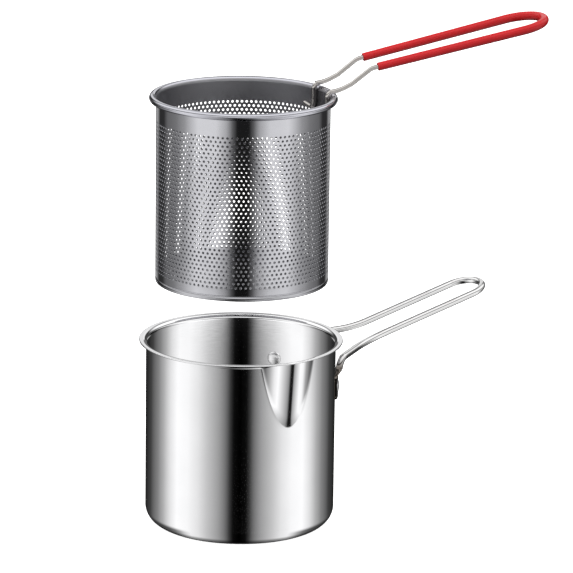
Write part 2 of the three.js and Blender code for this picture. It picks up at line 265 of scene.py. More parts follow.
def frames_along(path):
    """The points of a path, and two directions across it that never twist."""
    points = np.array(path, float)
    along = np.gradient(points, axis=0)
    along /= np.linalg.norm(along, axis=1, keepdims=True)
    side = np.cross(along[0], (0.31, 0.52, 0.79))
    sides = []
    for direction in along:
        side = side - direction * side.dot(direction)
        side /= np.linalg.norm(side)
        sides.append(side)
    sides = np.array(sides)
    return points, along, sides, np.cross(along, sides)


def tube(path, radii, sides, end_round=0.6 * MM, end_steps=5):
    """A round wire along a path, with its two ends rounded off."""
    points, along, across, up = frames_along(path)
    radii = np.broadcast_to(np.asarray(radii, float), len(points))
    angles = np.radians(np.linspace(84, 0, end_steps, endpoint=False))
    trim = end_round * (1 - np.cos(angles))
    step = end_round * np.sin(angles)
    index = np.concatenate([np.zeros(end_steps), np.arange(len(points)), np.full(end_steps, len(points) - 1)])
    index = index.astype(int)
    shift = np.concatenate([-step, np.zeros(len(points)), step[::-1]]) * 0.5
    less = np.concatenate([trim, np.zeros(len(points)), trim[::-1]])
    turn = np.linspace(0, 2 * math.pi, sides, endpoint=False)[None, :, None]
    centre = points[index] + along[index] * shift[:, None]
    spoke = across[index][:, None] * np.cos(turn) + up[index][:, None] * np.sin(turn)
    rings = centre[:, None] + spoke * (radii[index] - less)[:, None, None]
    return rings.reshape(-1, 3), [grid_faces(len(index), sides), end_faces(len(index), sides)]


def sleeve(path, radii, bore, sides):
    """A hollow sleeve along a path: its outside one way and its bore back again."""
    points, along, across, up = frames_along(path)
    turn = np.linspace(0, 2 * math.pi, sides, endpoint=False)[None, :, None]
    spoke = across[:, None] * np.cos(turn) + up[:, None] * np.sin(turn)
    outside = points[:, None] + spoke * radii[:, None, None]
    inside = points[:, None] + spoke * bore
    rings = np.concatenate([outside, inside[::-1]])
    return rings.reshape(-1, 3), [grid_faces(len(rings), sides, joined=True)]


# Materials

def new_material(name):
    """A material with its nodes, its links and its shader."""
    material = bpy.data.materials.new(name)
    material.use_nodes = True
    nodes = material.node_tree.nodes
    return material, nodes, material.node_tree.links, nodes["Principled BSDF"]


def noise(nodes, links, scale, stretch=(1, 1, 1), detail=4.0):
    """A noise in the object's own coordinates, stretched along its axes. Its scale counts per metre."""
    place = nodes.new("ShaderNodeTexCoord")
    mapping = nodes.new("ShaderNodeMapping")
    mapping.inputs["Scale"].default_value = stretch
    texture = nodes.new("ShaderNodeTexNoise")
    texture.inputs["Scale"].default_value = scale
    texture.inputs["Detail"].default_value = detail
    links.new(place.outputs["Object"], mapping.inputs["Vector"])
    links.new(mapping.outputs["Vector"], texture.inputs["Vector"])
    return texture.outputs["Fac"]


def spread(nodes, links, source, low, high, start=0.3, end=0.7):
    """Maps a noise onto a range of numbers."""
    ranged = nodes.new("ShaderNodeMapRange")
    ranged.inputs["From Min"].default_value = start
    ranged.inputs["From Max"].default_value = end
    ranged.inputs["To Min"].default_value = low
    ranged.inputs["To Max"].default_value = high
    links.new(source, ranged.inputs["Value"])
    return ranged.outputs["Result"]


def tinted(nodes, links, source, first, second):
    """A colour that wanders between two colours with a noise."""
    mix = nodes.new("ShaderNodeMix")
    mix.data_type = "RGBA"
    mix.inputs["A"].default_value = (*first, 1)
    mix.inputs["B"].default_value = (*second, 1)
    links.new(source, mix.inputs["Factor"])
    return mix.outputs["Result"]


def bumped(nodes, links, source, strength, depth):
    """A normal that follows a noise as a relief of a small depth."""
    bump = nodes.new("ShaderNodeBump")
    bump.inputs["Strength"].default_value = strength
    bump.inputs["Distance"].default_value = depth
    links.new(source, bump.inputs["Height"])
    return bump.outputs["Normal"]


def steel(name, dark, light, rough_low, rough_high, lines=(1, 1, 12), line_scale=160, bump=0.02):
    """A bare steel: a slow change of tone, and fine lines left by polishing or drawing."""
    material, nodes, links, shader = new_material(name)
    shader.inputs["Metallic"].default_value = 1.0
    slow = spread(nodes, links, noise(nodes, links, 35), 0, 1)
    fine = noise(nodes, links, line_scale, lines, 6.0)
    links.new(tinted(nodes, links, slow, dark, light), shader.inputs["Base Color"])
    links.new(spread(nodes, links, fine, rough_low, rough_high), shader.inputs["Roughness"])
    links.new(bumped(nodes, links, fine, bump, 0.02 * MM), shader.inputs["Normal"])
    return material


def paint_shade_below(material, high, low, tone):
    """Painted shade: darkens a steel between two heights and below them, matching the darker look of the handle's
    pressed ends against the wall.
    """
    nodes, links = material.node_tree.nodes, material.node_tree.links
    colour = nodes["Principled BSDF"].inputs["Base Color"]
    parts = nodes.new("ShaderNodeSeparateXYZ")
    links.new(nodes.new("ShaderNodeTexCoord").outputs["Object"], parts.inputs["Vector"])
    mix = nodes.new("ShaderNodeMix")
    mix.data_type = "RGBA"
    mix.inputs["B"].default_value = (*tone, 1)
    links.new(colour.links[0].from_socket, mix.inputs["A"])
    links.new(spread(nodes, links, parts.outputs["Z"], 1, 0, low, high), mix.inputs["Factor"])
    links.new(mix.outputs["Result"], colour)


def red_sleeve():
    """Dipped soft plastic: an even red, slightly uneven in gloss, with a fine pebbled skin."""
    material, nodes, links, shader = new_material("red_sleeve")
    shader.inputs["Specular IOR Level"].default_value = 0.3
    slow = spread(nodes, links, noise(nodes, links, 60), 0, 1)
    fine = noise(nodes, links, 900, detail=3.0)
    links.new(tinted(nodes, links, slow, (0.50, 0.008, 0.012), (0.58, 0.012, 0.016)), shader.inputs["Base Color"])
    links.new(spread(nodes, links, fine, 0.20, 0.28), shader.inputs["Roughness"])
    links.new(bumped(nodes, links, fine, 0.12, 0.05 * MM), shader.inputs["Normal"])
    return material


def pale_floor():
    """A matt white that glows a little, as a light table does."""
    material, nodes, links, shader = new_material("pale_floor")
    shader.inputs["Specular IOR Level"].default_value = 0.0
    shader.inputs["Emission Color"].default_value = (1, 1, 1, 1)
    shader.inputs["Emission Strength"].default_value = FLOOR_GLOW
    slow = spread(nodes, links, noise(nodes, links, 3), 0, 1)
    links.new(tinted(nodes, links, slow, (0.93, 0.93, 0.93), (0.95, 0.95, 0.95)), shader.inputs["Base Color"])
    links.new(spread(nodes, links, noise(nodes, links, 400), 0.8, 0.9), shader.inputs["Roughness"])
    return material


pot_steel = steel("polished_steel", (0.90, 0.90, 0.91), (0.94, 0.94, 0.95), 0.030, 0.060)
wire_steel = steel("polished_wire", (0.80, 0.80, 0.80), (0.86, 0.855, 0.85), 0.04, 0.08, (3, 3, 3), 300)
# Painted shade on the handle's pressed ends: the wire's steel is darkened from about its neck down.
paint_shade_below(wire_steel, POT_HEIGHT - TAB_NECK + 2 * MM, POT_HEIGHT - TAB_TOP + 1 * MM, (0.17, 0.15, 0.135))
rivet_steel = steel("polished_rivet", (0.88, 0.88, 0.89), (0.94, 0.94, 0.94), 0.32, 0.42, (1, 1, 1), 500)
sheet_steel = steel("satin_sheet", (0.45, 0.45, 0.475), (0.51, 0.51, 0.535), 0.05, 0.09, (1, 1, 20), 220, 0.04)
# Painted highlight: the bead is the sheet's own steel, painted lighter so that its rolled top reads brighter.
bead_steel_painted_highlight = steel("bead_painted_highlight", (0.56, 0.56, 0.61), (0.62, 0.62, 0.67), 0.06, 0.10, (1, 1, 1), 300)
# The basket's inner faces: the same sheet painted darker, a painted shade, and given a rougher finish.
inside_steel_painted_shade = steel("rough_inside_painted_shade", (0.31, 0.31, 0.33), (0.37, 0.37, 0.39), 0.34, 0.40, (1, 1, 20), 220, 0.02)
basket_wire_steel = steel("satin_wire", (0.54, 0.515, 0.49), (0.60, 0.575, 0.55), 0.06, 0.11, (2, 2, 2), 400, 0.03)
grip_red = red_sleeve()


# The pot's shell

def spout_axis(z):
    """How far the spout's axis is from the pot's axis at a height."""
    drop = (POT_HEIGHT - z) * SPOUT_REACH / SPOUT_DEPTH
    return POT_RADIUS + SPOUT_REACH - SPOUT_RADIUS - drop


def spout_surface(turn, z, sheet):
    """The distance from the pot's axis to the spout's surface, or 0 where there is no spout."""
    axis, radius, lean = spout_axis(z), SPOUT_RADIUS - sheet, math.cos(SPOUT_LEAN) ** 2
    cosine, sine = np.cos(turn), np.sin(turn)
    whole = lean * cosine ** 2 + sine ** 2
    left = (lean * axis * cosine) ** 2 - whole * (lean * axis ** 2 - radius ** 2)
    reach = (lean * axis * cosine + np.sqrt(np.maximum(left, 0))) / whole
    return np.where((left > 0) & (cosine > 0), reach, 0)


def crease_turn(z, sheet):
    """How far round from the spout's middle its crease is at a height."""
    axis, radius, lean = spout_axis(z), SPOUT_RADIUS - sheet, math.cos(SPOUT_LEAN) ** 2
    pot = POT_RADIUS - sheet
    square = (lean - 1) * pot ** 2
    line = -2 * lean * axis * pot
    rest = lean * axis ** 2 + pot ** 2 - radius ** 2
    cosine = 2 * rest / (-line + np.sqrt(line ** 2 - 4 * square * rest))
    return np.arccos(np.clip(cosine, -1, 1))


def wall_surface(turn, z, sheet):
    """The wall's distance from the axis: the round pot or the spout, with a small round crease between."""
    pot, spout = POT_RADIUS - sheet, spout_surface(turn, z, sheet)
    meet = np.maximum(SPOUT_CREASE - np.abs(pot - spout), 0) / SPOUT_CREASE
    return np.maximum(pot, spout) + meet ** 2 * SPOUT_CREASE / 4


def wall_columns(z, sheet):
    """The turn of each column from the spout's middle, so that columns follow the crease as it narrows."""
    narrow = math.radians(2.5)
    edge = np.sqrt(crease_turn(z, sheet) ** 2 + narrow ** 2)
    within = np.sin(np.linspace(-math.pi / 2, math.pi / 2, SPOUT_COLUMNS + 1))
    beyond = np.linspace(0, 1, POT_COLUMNS + 1)[1:]
    beyond = beyond * (0.15 + 0.85 * beyond)
    right = edge + (math.pi - edge) * beyond
    left = -right[..., -2::-1]
    return np.concatenate([left, edge * within, right], -1)


def pot_rings():
    """The rings of the pot's sheet: out over the base, up outside, over the lip, and down inside."""
    count = SPOUT_COLUMNS + 1 + 2 * POT_COLUMNS - 1
    top = POT_HEIGHT
    under = top - POT_SHEET
    rings = []

    def add(turn, r, z):
        turn, r, z = np.broadcast_arrays(turn, r, z)
        rings.append(np.stack([turn, r, z], -1))

    def skin(sheet, bottom, rise):
        """The wall's rings on one skin, from the fillet up to where the lip starts at each column."""
        turn_top = wall_columns(np.full(1, top - LIP_BEND), sheet)
        radius_top = wall_surface(turn_top, top - LIP_BEND, sheet)
        reach = POT_RADIUS + LIP_BEND + LIP_FLAT
        least, most = (0.25 * MM, LIP_BEND) if not sheet else (0.3 * MM, LIP_BEND + POT_SHEET)
        bend = np.clip(reach - radius_top, least, most)
        start = rise - bend
        split, end = top - SPOUT_DEPTH - SPOUT_FOOT_ROOM, top - LIP_ZONE
        foot = bottom + np.array([0, 0.004, 0.5]) * MM
        heights = np.concatenate([foot, np.linspace(bottom, split, 14)[1:-1], np.linspace(split, end, 60)])
        levels = [(wall_columns(np.full(1, z), sheet), np.full(count, z)) for z in heights]
        levels += [(turn_top, start * share + end * (1 - share)) for share in (0.5, 1.0)]
        return turn_top, bend, [(turn, wall_surface(turn, z, sheet), z) for turn, z in levels]

    outer_turn, outer_bend, outer = skin(0, BASE_FILLET - FILLET_START, under)
    inner_turn, inner_bend, inner = skin(POT_SHEET, BASE_FILLET, top)
    base_turn = wall_columns(np.full(1, BASE_FILLET), 0)

    for r in (0.4 * MM, 20 * MM, 40 * MM):
        add(base_turn, r, 0)
    for r, z in arc(POT_RADIUS - BASE_FILLET, BASE_FILLET, BASE_FILLET, -90, -7, 24):
        add(base_turn, r, z)
    add(base_turn, POT_RADIUS - 0.0004 * MM, BASE_FILLET - FILLET_START - 0.003 * MM)
    for turn, r, z in outer:
        add(turn, r, z)

    wall = outer[-1][1]
    for angle in np.radians(np.linspace(180, 90, 8))[1:]:
        add(outer_turn, wall + outer_bend * (1 + math.cos(angle)), under - outer_bend * (1 - math.sin(angle)))
    lip_edge = pot_high.x
    half = lip_edge - np.maximum(lip_edge - LIP_HEM, wall + outer_bend + 0.05 * MM)
    for angle in np.radians(np.linspace(-110, 90, 21)):
        add(outer_turn, lip_edge - half * (1 - math.cos(angle)), top - LIP_HEM * (1 - math.sin(angle)))

    wall = inner[-1][1]
    for angle in np.radians(np.linspace(90, 180, 9))[:-1]:
        add(inner_turn, wall + inner_bend * (1 + math.cos(angle)), top - inner_bend * (1 - math.sin(angle)))
    for turn, r, z in reversed(inner):
        add(turn, r, z)
    for r, z in arc(POT_RADIUS - BASE_FILLET, BASE_FILLET, BASE_FILLET - POT_SHEET, 0, -90, 8)[1:]:
        add(base_turn, r, z)
    for r in (36 * MM, 18 * MM, 0.4 * MM):
        add(base_turn, r, POT_SHEET)
    return np.array([ring.reshape(count, 3) for ring in rings])


def make_pot_shell():
    rings = pot_rings()
    turn, r, z = rings[..., 0] + SPOUT_TURN, rings[..., 1], rings[..., 2]
    points = np.stack([r * np.cos(turn), r * np.sin(turn), z], -1)
    rows, columns = points.shape[:2]
    faces = [grid_faces(rows, columns), end_faces(rows, columns)]
    shell = add_piece("pot_sheet", "pot", "pot_shell", pot_steel, points.reshape(-1, 3), faces)
    shell.visible_glossy = False
    return shell


# The pot's handle

def press_tabs(points, wall_side):
    """Presses the wire's two ends flat against the wall: thin across it, and wide along it."""
    height, radius = points[:, 2], np.hypot(points[:, 0], points[:, 1])
    share = np.clip((POT_HEIGHT - TAB_TOP - height) / TAB_PRESS, 0, 1)
    share = share * share * (3 - 2 * share)
    turn = np.sign(points[:, 1]) * TAB_TURN
    out = points[:, 0] * np.cos(turn) + points[:, 1] * np.sin(turn)
    across = points[:, 1] * np.cos(turn) - points[:, 0] * np.sin(turn)
    chosen = (share > 0) & (out < wall_side + POT_WIRE)
    wide = across * (1 + share * (TAB_WIDTH / POT_WIRE - 1))
    thick = (POT_WIRE + share * (TAB_THICKNESS - POT_WIRE)) / 2
    offset = out - wall_side
    offset = offset * (1 - share) + share * np.tanh(offset / thick * 1.6) / math.tanh(1.6) * thick
    offset = np.clip(offset, -thick, thick)
    centre = wall_side + share * (POT_RADIUS + CLEARANCE + TAB_THICKNESS / 2 - wall_side)
    reach = centre + offset
    angle = turn + wide / reach
    pressed = np.stack([reach * np.cos(angle), reach * np.sin(angle), height], -1)
    return np.where(chosen[:, None], pressed, points)


def make_pot_handle():
    def height_at(x):
        return POT_HEIGHT - POT_HANDLE_DROP + x * math.tan(POT_HANDLE_RISE)

    def on_wall(drop, out):
        return Vector((out * math.cos(TAB_TURN), out * math.sin(TAB_TURN), POT_HEIGHT - drop))

    radius, half = POT_WIRE / 2, POT_LEG_GAP / 2
    wall_side = POT_RADIUS + CLEARANCE + radius
    centre = POT_LOOP_END - half
    side = bent_path([
        (on_wall(TAB_BOTTOM - 0.4 * MM, wall_side), 0),
        (on_wall(TAB_TOP, wall_side), 0),
        (on_wall(TAB_NECK, wall_side + CLEARANCE), TAB_NECK_BEND),
        (Vector((POT_LEG_BEND, half, height_at(POT_LEG_BEND))), POT_LEG_BEND_RADIUS),
        (Vector((centre, half, height_at(centre))), 0),
    ])
    path = filled_in(side + half_loop(centre, half, height_at) + mirrored(side), 2 * MM)
    points, faces = tube(path, radius, WIRE_SIDES, 0.8 * MM)
    points = press_tabs(points, wall_side)
    wire = add_piece("pot_handle_wire", "pot", "pot_handle", wire_steel, points, faces)
    wire.visible_glossy = False


def make_rivet(name, node, turn):
    """One rivet, a domed head inside the pot and a low one on the handle's end."""
    inner = POT_RADIUS - POT_SHEET
    sag = inner - math.sqrt(inner ** 2 - RIVET_INNER_HEAD ** 2 / 4)
    inner_seat = inner - CLEARANCE - sag
    outer_seat = POT_RADIUS + 2 * CLEARANCE + TAB_THICKNESS
    angles = np.radians(np.linspace(1, 90, 14))
    dome = [(RIVET_INNER_HEAD / 2 * math.sin(a), inner_seat - RIVET_INNER_DOME * math.cos(a)) for a in angles]
    cap = [(RIVET_OUTER_HEAD / 2 * math.sin(a), outer_seat + RIVET_OUTER_DOME * math.cos(a)) for a in angles]
    profile = dome + [(RIVET_SHANK / 2, inner_seat), (RIVET_SHANK / 2, outer_seat)] + cap[::-1]
    lay = Matrix.Rotation(turn, 4, "Z") @ Matrix.Rotation(math.pi / 2, 4, "Y")
    lay.translation = Vector((0, 0, POT_HEIGHT - RIVET_DROP))
    points = moved(lathe(profile, RIVET_SIDES), lay)
    faces = [grid_faces(len(profile), RIVET_SIDES), end_faces(len(profile), RIVET_SIDES)]
    rivet = add_piece(name, "pot", node, rivet_steel, points, faces, 50)
    rivet.visible_glossy = False


# The basket

def make_basket_wall():
    """The perforated sheet: staggered rows of round holes, each in its own six-cornered cell of sheet."""
    columns, rows, sides = 2 * HOLE_COLUMNS, HOLE_ROWS, HOLE_SIDES
    outer, inner = BASKET_RADIUS, BASKET_RADIUS - BASKET_SHEET
    bead_z = BASKET_BASE + BASKET_HEIGHT
    first = bead_z - HOLE_TOP_DROP - (rows - 1) * HOLE_ROW_PITCH
    step = 2 * math.pi / columns
    row, column = np.meshgrid(np.arange(-1, rows), np.arange(columns), indexing="ij")
    third = HOLE_ROW_PITCH / 3
    level = first + row * HOLE_ROW_PITCH + np.where((row + column) % 2, third, 2 * third)

    hole_row = np.repeat(np.arange(rows), HOLE_COLUMNS)
    hole_column = np.concatenate([np.arange(k % 2, columns, 2) for k in range(rows)])
    around = np.radians(15 + 30 * np.arange(sides))
    hole_turn = hole_column[:, None] * step + HOLE_RADIUS * np.cos(around) / outer
    hole_z = first + hole_row[:, None] * HOLE_ROW_PITCH + HOLE_RADIUS * np.sin(around)

    around_cell = ((0, 1), (0, 0), (0, -1), (-1, -1), (-1, 0), (-1, 1))
    corners = np.stack([(hole_row + up + 1) * columns + (hole_column + side) % columns
                        for up, side in around_cell], -1)
    level_count = (rows + 1) * columns
    edges = level_count + np.arange(len(hole_row) * sides).reshape(-1, sides)
    skin_count = level_count + edges.size

    def skin(radius):
        turn = np.concatenate([(column * step).ravel(), hole_turn.ravel()])
        z = np.concatenate([level.ravel(), hole_z.ravel()])
        return np.stack([radius * np.cos(turn), radius * np.sin(turn), z], -1)

    triangles, quads = [], []
    for j in range(6):
        triangles.append(np.stack([edges[:, 2 * j], corners[:, j], edges[:, 2 * j + 1]], -1))
        after = (j + 1) % 6
        quads.append(np.stack([corners[:, j], corners[:, after],
                               edges[:, (2 * j + 2) % sides], edges[:, 2 * j + 1]], -1))
    triangles, quads = np.concatenate(triangles), np.concatenate(quads)
    after = np.roll(edges, -1, axis=1)
    through = np.stack([edges, after, after + skin_count, edges + skin_count], -1).reshape(-1, 4)

    base = BASKET_BASE
    bead_r = outer + BEAD_RADIUS
    band = bead_z - HOLE_TOP_DROP + HOLE_ROW_PITCH
    top = [(outer, z) for z in (band - 0.3 * MM, band, bead_z - 2.5 * MM, bead_z - 2.1 * MM)]
    top += arc(bead_r, bead_z, BEAD_RADIUS, -152, 150, 30)
    top += [(inner + 0.25 * MM, bead_z + 0.5 * MM), (inner, bead_z - 0.3 * MM), (inner, bead_z - 0.8 * MM)]
    top += [(inner, band), (inner, band - 0.3 * MM)]
    ring = FOOT_RING
    foot = [(outer, ring + 1.3 * MM), (outer, ring + 0.7 * MM), (outer - 0.30 * MM, ring + 0.35 * MM),
            (outer - 0.30 * MM, ring + 0.1 * MM), (outer, ring - 0.25 * MM), (outer + 0.02 * MM, ring / 2)]
    foot += arc(outer - 0.9 * MM, 0.9 * MM, 0.9 * MM, 0, -90, 8)
    foot += [(outer - FOOT_LIP, 0), (outer - FOOT_LIP, BASKET_SHEET), (outer - 0.9 * MM, BASKET_SHEET)]
    foot += [(inner - 0.05 * MM, 0.8 * MM), (inner, 1.4 * MM)]
    upper = lathe(top, columns)
    lower = lathe([(r, base + z) for r, z in foot], columns)

    points = np.concatenate([skin(outer), skin(inner), upper, lower])
    start = 2 * skin_count
    top_rings = [np.arange(columns) + rows * columns]
    top_rings += [start + i * columns + np.arange(columns) for i in range(len(top))]
    top_rings.append(skin_count + np.arange(columns) + rows * columns)
    start += len(top) * columns
    foot_rings = [np.arange(columns)]
    foot_rings += [start + i * columns + np.arange(columns) for i in range(len(foot))]
    foot_rings.append(skin_count + np.arange(columns))
    bands = []
    for low, high in zip(top_rings, top_rings[1:]):
        bands.append(np.stack([low, np.roll(low, -1), np.roll(high, -1), high], -1))
    for high, low in zip(foot_rings, foot_rings[1:]):
        bands.append(np.stack([low, np.roll(low, -1), np.roll(high, -1), high], -1))
    faces = [triangles, triangles[:, ::-1] + skin_count,
             quads, quads[:, ::-1] + skin_count, through, np.concatenate(bands)]
    before = sum(len(group) for group in faces[:-1])
    # The bead's faces get the lighter steel, a painted highlight; the inner faces get the darker steel, a painted
    # shade.
    bead = before + np.arange(3 * columns, (len(top) - 5) * columns)
    inside = [np.arange(len(triangles), 2 * len(triangles)),
              2 * len(triangles) + np.arange(len(quads), 2 * len(quads)),
              before + np.arange((len(top) - 5) * columns, (len(top) + 1) * columns)]
    add_piece("basket_sheet", "basket", "basket_wall", sheet_steel, points, faces, 40,
              [(bead_steel_painted_highlight, bead), (inside_steel_painted_shade, np.concatenate(inside))])


def make_basket_floor():
    """The flat perforated disc that lies on the wall's turned-in foot."""
    radius = BASKET_RADIUS - 2 * BASKET_SHEET - CLEARANCE
    pitch = 2 * math.pi * BASKET_RADIUS / HOLE_COLUMNS
    curve = bpy.data.curves.new("floor_outline", "CURVE")
    curve.dimensions = "2D"
    curve.fill_mode = "BOTH"
    curve.extrude = BASKET_SHEET / 2

    def circle(x, y, size, sides):
        spline = curve.splines.new("POLY")
        spline.points.add(sides - 1)
        for i, point in enumerate(spline.points):
            angle = 2 * math.pi * i / sides
            point.co = (x + size * math.cos(angle), y + size * math.sin(angle), 0, 1)
        spline.use_cyclic_u = True

    circle(0, 0, radius, 2 * HOLE_COLUMNS)
    row_pitch = pitch * math.sqrt(3) / 2
    reach = radius - 3.5 * MM
    for row in range(-20, 21):
        for column in range(-20, 21):
            x, y = (column + row % 2 / 2) * pitch, row * row_pitch
            if math.hypot(x, y) < reach:
                circle(x, y, HOLE_RADIUS, 10)
    outline = bpy.data.objects.new("floor_outline", curve)
    bpy.context.scene.collection.objects.link(outline)
    bpy.context.view_layer.update()
    mesh = bpy.data.meshes.new_from_object(outline.evaluated_get(bpy.context.evaluated_depsgraph_get()))
    bpy.data.objects.remove(outline)
    mesh.name = "basket_disc"
    mesh.transform(Matrix.Translation((0, 0, BASKET_BASE + 1.5 * BASKET_SHEET + CLEARANCE)))
    place_piece(bpy.data.objects.new("basket_disc", mesh), "basket", "basket_floor", sheet_steel)


def basket_leg():
    """One leg of the basket's handle, from its welded foot inside the wall to the side of the loop."""
    half, loop_half = BASKET_LEG_GAP / 2, BASKET_LOOP_WIDTH / 2
    hang = BASKET_RADIUS - BASKET_SHEET - CLEARANCE - BASKET_WIRE / 2
    over_bead = BEAD_RADIUS + CLEARANCE + BASKET_WIRE / 2
    in_x = math.sqrt(hang ** 2 - half ** 2)
    loop_centre = BASKET_LOOP_END - loop_half
    rim = BASKET_BASE + BASKET_HEIGHT
    slope = (BASKET_LOOP_RISE - KINK_TOP_RISE) / (BASKET_LOOP_END - KINK_TOP)

    def at(x, rise):
        y = half + (loop_half - half) * (x - in_x) / (loop_centre - in_x)
        return Vector((x, y, rim + rise))

    turn = math.atan2(half, in_x) + HOOK_FOOT / hang
    foot = Vector((hang * math.cos(turn), hang * math.sin(turn), rim - HOOK_LENGTH + HOOK_FOOT_RISE))
    corners = [
        (foot, 0),
        (at(in_x, -HOOK_LENGTH), HOOK_TURN_RADIUS),
        (at(in_x, over_bead), HOOK_BEND_RADIUS),
        (at(BASKET_RADIUS + BEAD_RADIUS, over_bead + CLEARANCE), RIM_BEND_RADIUS),
        (at(KINK_FOOT, KINK_FOOT_RISE), KINK_BEND_RADIUS),
        (at(KINK_TOP, KINK_TOP_RISE), KINK_BEND_RADIUS),
        (at(SLEEVE_START, KINK_TOP_RISE + (SLEEVE_START - KINK_TOP) * slope), 0),
        (at(loop_centre, BASKET_LOOP_RISE - loop_half * slope), 0),
    ]
    loop = half_loop(loop_centre, loop_half, lambda x: rim + BASKET_LOOP_RISE - (BASKET_LOOP_END - x) * slope)
    return corners, loop


def make_basket_handle():
    corners, loop = basket_leg()
    side = bent_path(corners)
    wire_path = filled_in(side + loop + mirrored(side), 3 * MM)
    points, faces = tube(wire_path, BASKET_WIRE / 2, WIRE_SIDES)
    add_piece("basket_handle_wire", "basket", "basket_handle", basket_wire_steel,
              moved(points, BASKET_TURN), faces)

    start, end = corners[-2][0], corners[-1][0]
    along = (end - start).normalized()
    lead = [start + along * (step * MM) for step in (0, 0.1, 0.25, 0.45, 0.8)]
    leg = filled_in(lead + [end], 3 * MM)
    path = leg + loop + mirrored(leg)
    share = np.clip((np.array([p.x for p in path]) - start.x) / (BASKET_LOOP_END - start.x), 0, 1)
    radii = SLEEVE_START_RADIUS + (SLEEVE_RADIUS - SLEEVE_START_RADIUS) * share
    rounded = np.array([0.5, 0.25, 0.1, 0.02]) * MM
    radii[:4] -= rounded
    radii[-4:] -= rounded[::-1]
    points, faces = sleeve(path, radii, BASKET_WIRE / 2 + 0.02 * MM, WIRE_SIDES)
    add_piece("grip_sleeve", "basket", "basket_grip", grip_red, moved(points, BASKET_TURN), faces, 50)


make_pot_shell()
make_pot_handle()
make_rivet("rivet_near", "rivet_spout_side", -TAB_TURN)
make_rivet("rivet_far", "rivet_far_side", TAB_TURN)
make_basket_wall()
make_basket_floor()
make_basket_handle()


# The studio

def make_floor():
    size = 8
    corners = [(-size, -size, 0), (size, -size, 0), (size, size, 0), (-size, size, 0)]
    mesh = bpy.data.meshes.new("floor")
    mesh.from_pydata(corners, [], [(0, 1, 2, 3)])
    mesh.materials.append(pale_floor())
    floor = bpy.data.objects.new("floor", mesh)
    bpy.context.scene.collection.objects.link(floor)
    floor.visible_glossy = False
    floor.visible_diffuse = False


# Bright panels and dark gaps round the table, seen only by reflections. Each stop is the turn of a wall that
# shows it, in degrees to the right of the photograph's viewpoint, and a brightness. The turns and brightnesses
# were fitted to the bands in the photograph. All but the spout's are the same to the left.
POT_PANELS = [
    (0, 0.0), (4, 0.004), (6, 0.04), (9, 0.19), (13, 0.36), (20, 0.59), (26, 0.84), (33, 1.02), (41, 1.08),
    (47, 0.82), (53, 0.46), (59, 0.24), (69, 0.055), (78, 0.02), (90, 0.03),
]
FOOT_PANELS = [
    (0, 0.0), (4, 0.004), (6, 0.04), (9, 0.19), (13, 0.36), (20, 0.59), (26, 0.84), (31, 0.94), (35, 0.68),
    (39, 0.36), (43, 0.18), (48, 0.10), (55, 0.06), (66, 0.03), (90, 0.03),
]
BASKET_PANELS = [
    (0, 0.02), (4, 0.02), (7, 0.20), (11, 0.75), (18, 1.25), (31, 1.30), (37, 0.90), (42, 0.56), (50, 0.34),
    (60, 0.24), (65, 0.05), (73, 0.04), (78, 0.40), (84, 0.50), (86, 0.05),
]
SPOUT_PANELS = [
    (-14, 0.34), (-11, 0.10), (-6, 0.12), (0, 0.40), (7, 0.90), (12, 1.10), (18, 0.72), (26, 0.30),
    (28.6, 0.01), (32.2, 0.01), (33.4, 0.35), (43, 1.10), (48, 1.0), (54, 0.40), (64, 0.09), (72, 0.06),
]


def mirrored_stops(stops):
    """Stops from far left to far right."""
    return [(-turn, value) for turn, value in stops[:0:-1]] + stops


def spout_stops():
    """The spout's own panels, and the pot's everywhere that the spout doesn't face."""
    left = [stop for stop in mirrored_stops(POT_PANELS) if stop[0] < SPOUT_PANELS[0][0]]
    right = [stop for stop in POT_PANELS if stop[0] > SPOUT_PANELS[-1][0]]
    return left + SPOUT_PANELS + right


